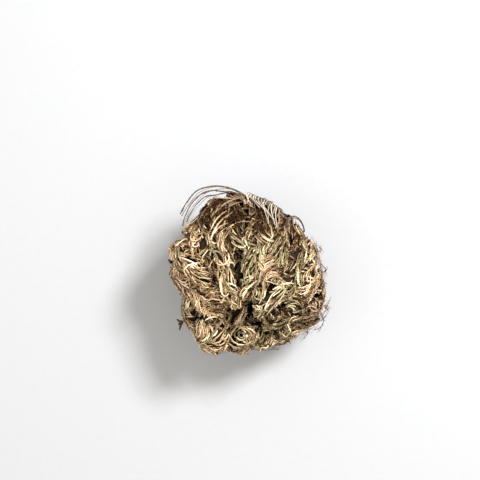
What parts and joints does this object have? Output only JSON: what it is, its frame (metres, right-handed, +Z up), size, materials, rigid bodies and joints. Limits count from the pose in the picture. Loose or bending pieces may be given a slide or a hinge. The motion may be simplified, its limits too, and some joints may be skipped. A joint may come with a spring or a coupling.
{
  "type": "dried rose of jericho plant",
  "caption": "Dried resurrection spikemoss curled into a ball: layered fern-like fronds rolled inwards over a short crown, with bare stems and a root mat to rest on.",
  "frame": {"origin": "centre of the flat spot on the underside of the root mat, on the surface that the plant rests on", "axes": "+Z up, away from the surface it rests on, through the closed top of the ball; the crown's axis leans 25 degrees from +Z towards -Y, so the rolled tips meet on the -Y side of the top; the looped bare stems stand out on the +Y side, towards -X"},
  "size_m": [0.086, 0.0909, 0.071],
  "materials": {
    "outer_frond": "matte, dry straw tan to olive",
    "lower_frond": "matte, weathered brown",
    "middle_frond": "matte, dry olive",
    "inner_frond": "matte, dull green",
    "bare_stem": "matte grey-brown",
    "root": "matte dark brown, fibrous"
  },
  "bodies": {
    "root": {"bare_stem_1": "bare_stem", "bare_stem_2": "bare_stem", "bare_stem_3": "bare_stem", "bare_stem_4": "bare_stem", "bare_stem_5": "bare_stem", "bare_stem_6": "bare_stem", "frond_inner_01": "inner_frond", "frond_inner_02": "inner_frond", "frond_inner_03": "inner_frond", "frond_inner_04": "inner_frond", "frond_inner_05": "inner_frond", "frond_inner_06": "inner_frond", "frond_inner_07": "inner_frond", "frond_lower_01": "lower_frond", "frond_lower_02": "lower_frond", "frond_lower_03": "lower_frond", "frond_lower_04": "lower_frond", "frond_lower_05": "lower_frond", "frond_lower_06": "lower_frond", "frond_lower_07": "lower_frond", "frond_lower_08": "lower_frond", "frond_lower_09": "lower_frond", "frond_lower_10": "lower_frond", "frond_lower_11": "lower_frond", "frond_middle_01": "middle_frond", "frond_middle_02": "middle_frond", "frond_middle_03": "middle_frond", "frond_middle_04": "middle_frond", "frond_middle_05": "middle_frond", "frond_middle_06": "middle_frond", "frond_middle_07": "middle_frond", "frond_middle_08": "middle_frond", "frond_middle_09": "middle_frond", "frond_middle_10": "middle_frond", "frond_middle_11": "middle_frond", "frond_outer_01": "outer_frond", "frond_outer_02": "outer_frond", "frond_outer_03": "outer_frond", "frond_outer_04": "outer_frond", "frond_outer_05": "outer_frond", "frond_outer_06": "outer_frond", "frond_outer_07": "outer_frond", "frond_outer_08": "outer_frond", "frond_outer_09": "outer_frond", "frond_outer_10": "outer_frond", "frond_outer_11": "outer_frond", "frond_outer_12": "outer_frond", "frond_outer_13": "outer_frond", "frond_outer_14": "outer_frond", "root_crown": "root"}
  },
  "joints": []
}
